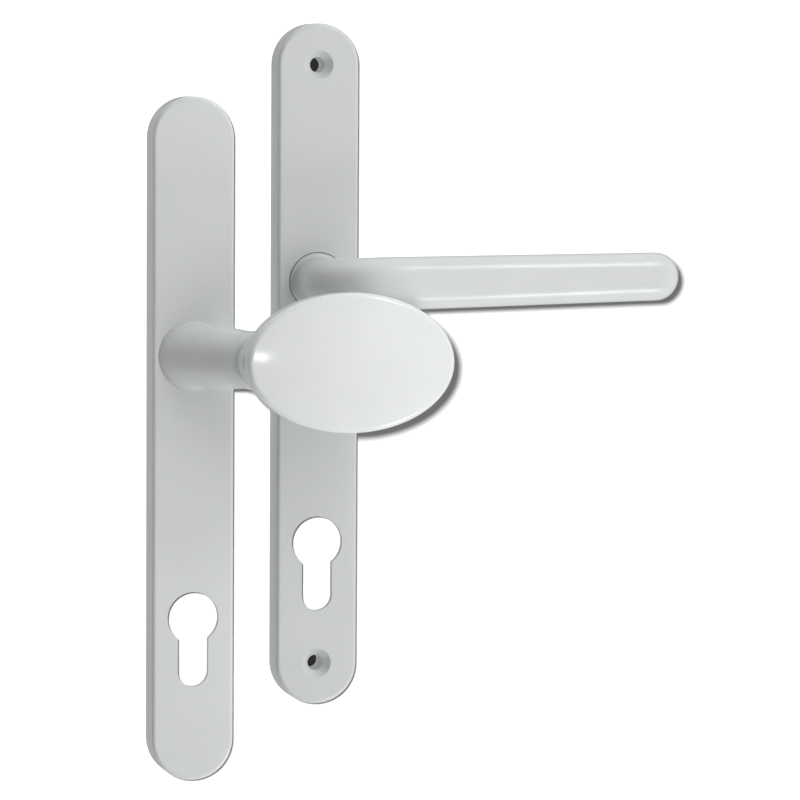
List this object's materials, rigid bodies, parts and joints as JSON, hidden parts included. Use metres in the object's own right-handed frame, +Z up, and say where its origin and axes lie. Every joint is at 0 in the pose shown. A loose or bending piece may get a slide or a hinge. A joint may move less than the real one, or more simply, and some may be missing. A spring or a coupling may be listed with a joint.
{
  "type": "door handle pair",
  "caption": "White lever and offset oval pad door handles on long round-ended backplates, each with a euro-profile cylinder cut-out, sprung handles and hidden fixing posts.",
  "frame": {"origin": "midway between the lever plate's two fixing holes, on the plane of the backs of both plates", "axes": "+Z up along the plates, +X right towards the lever's tip, +Y into the door; the handles stand out towards -Y"},
  "size_m": [0.1813, 0.065, 0.2658],
  "materials": {
    "white_coat": "satin white powder coat on die-cast zinc alloy",
    "white_nylon": "moulded white acetal bush",
    "grey_nylon": "moulded glass-filled nylon",
    "spring_steel": "drawn oiled spring wire",
    "zinc_plate": "bright zinc-plated steel",
    "black_steel": "phosphated spring steel"
  },
  "bodies": {
    "plates": {"lever_plate": "white_coat", "lever_bush": "white_nylon", "lever_spring_housing": "grey_nylon", "lever_return_spring": "spring_steel", "lever_housing_cover": "zinc_plate", "lever_cover_screws": "zinc_plate", "pad_plate": "white_coat", "pad_bush": "white_nylon", "pad_spring_housing": "grey_nylon", "pad_return_spring": "spring_steel", "pad_housing_cover": "zinc_plate", "pad_cover_screws": "zinc_plate", "pad_fixing_posts": "zinc_plate"},
    "lever": {"lever_handle": "white_coat", "lever_spring_cam": "zinc_plate", "lever_shim_washer": "zinc_plate", "lever_circlip": "black_steel"},
    "pad": {"pad_handle": "white_coat", "pad_spring_cam": "zinc_plate", "pad_shim_washer": "zinc_plate", "pad_circlip": "black_steel"}
  },
  "joints": [
    {"name": "lever_turn", "type": "hinge", "parent": "plates", "child": "lever", "pos_m": [0, 0, 0.0295], "axis": [0, -1, 0], "range_deg": [-45, 45], "stiffness_Nm_per_rad": 2, "springref_deg": 2.99, "deforming": ["lever_return_spring"]},
    {"name": "pad_turn", "type": "hinge", "parent": "plates", "child": "pad", "pos_m": [-0.0446, 0, 0.0037], "axis": [0, -1, 0], "range_deg": [-45, 45], "stiffness_Nm_per_rad": 2, "springref_deg": 2.74, "deforming": ["pad_return_spring"]}
  ]
}
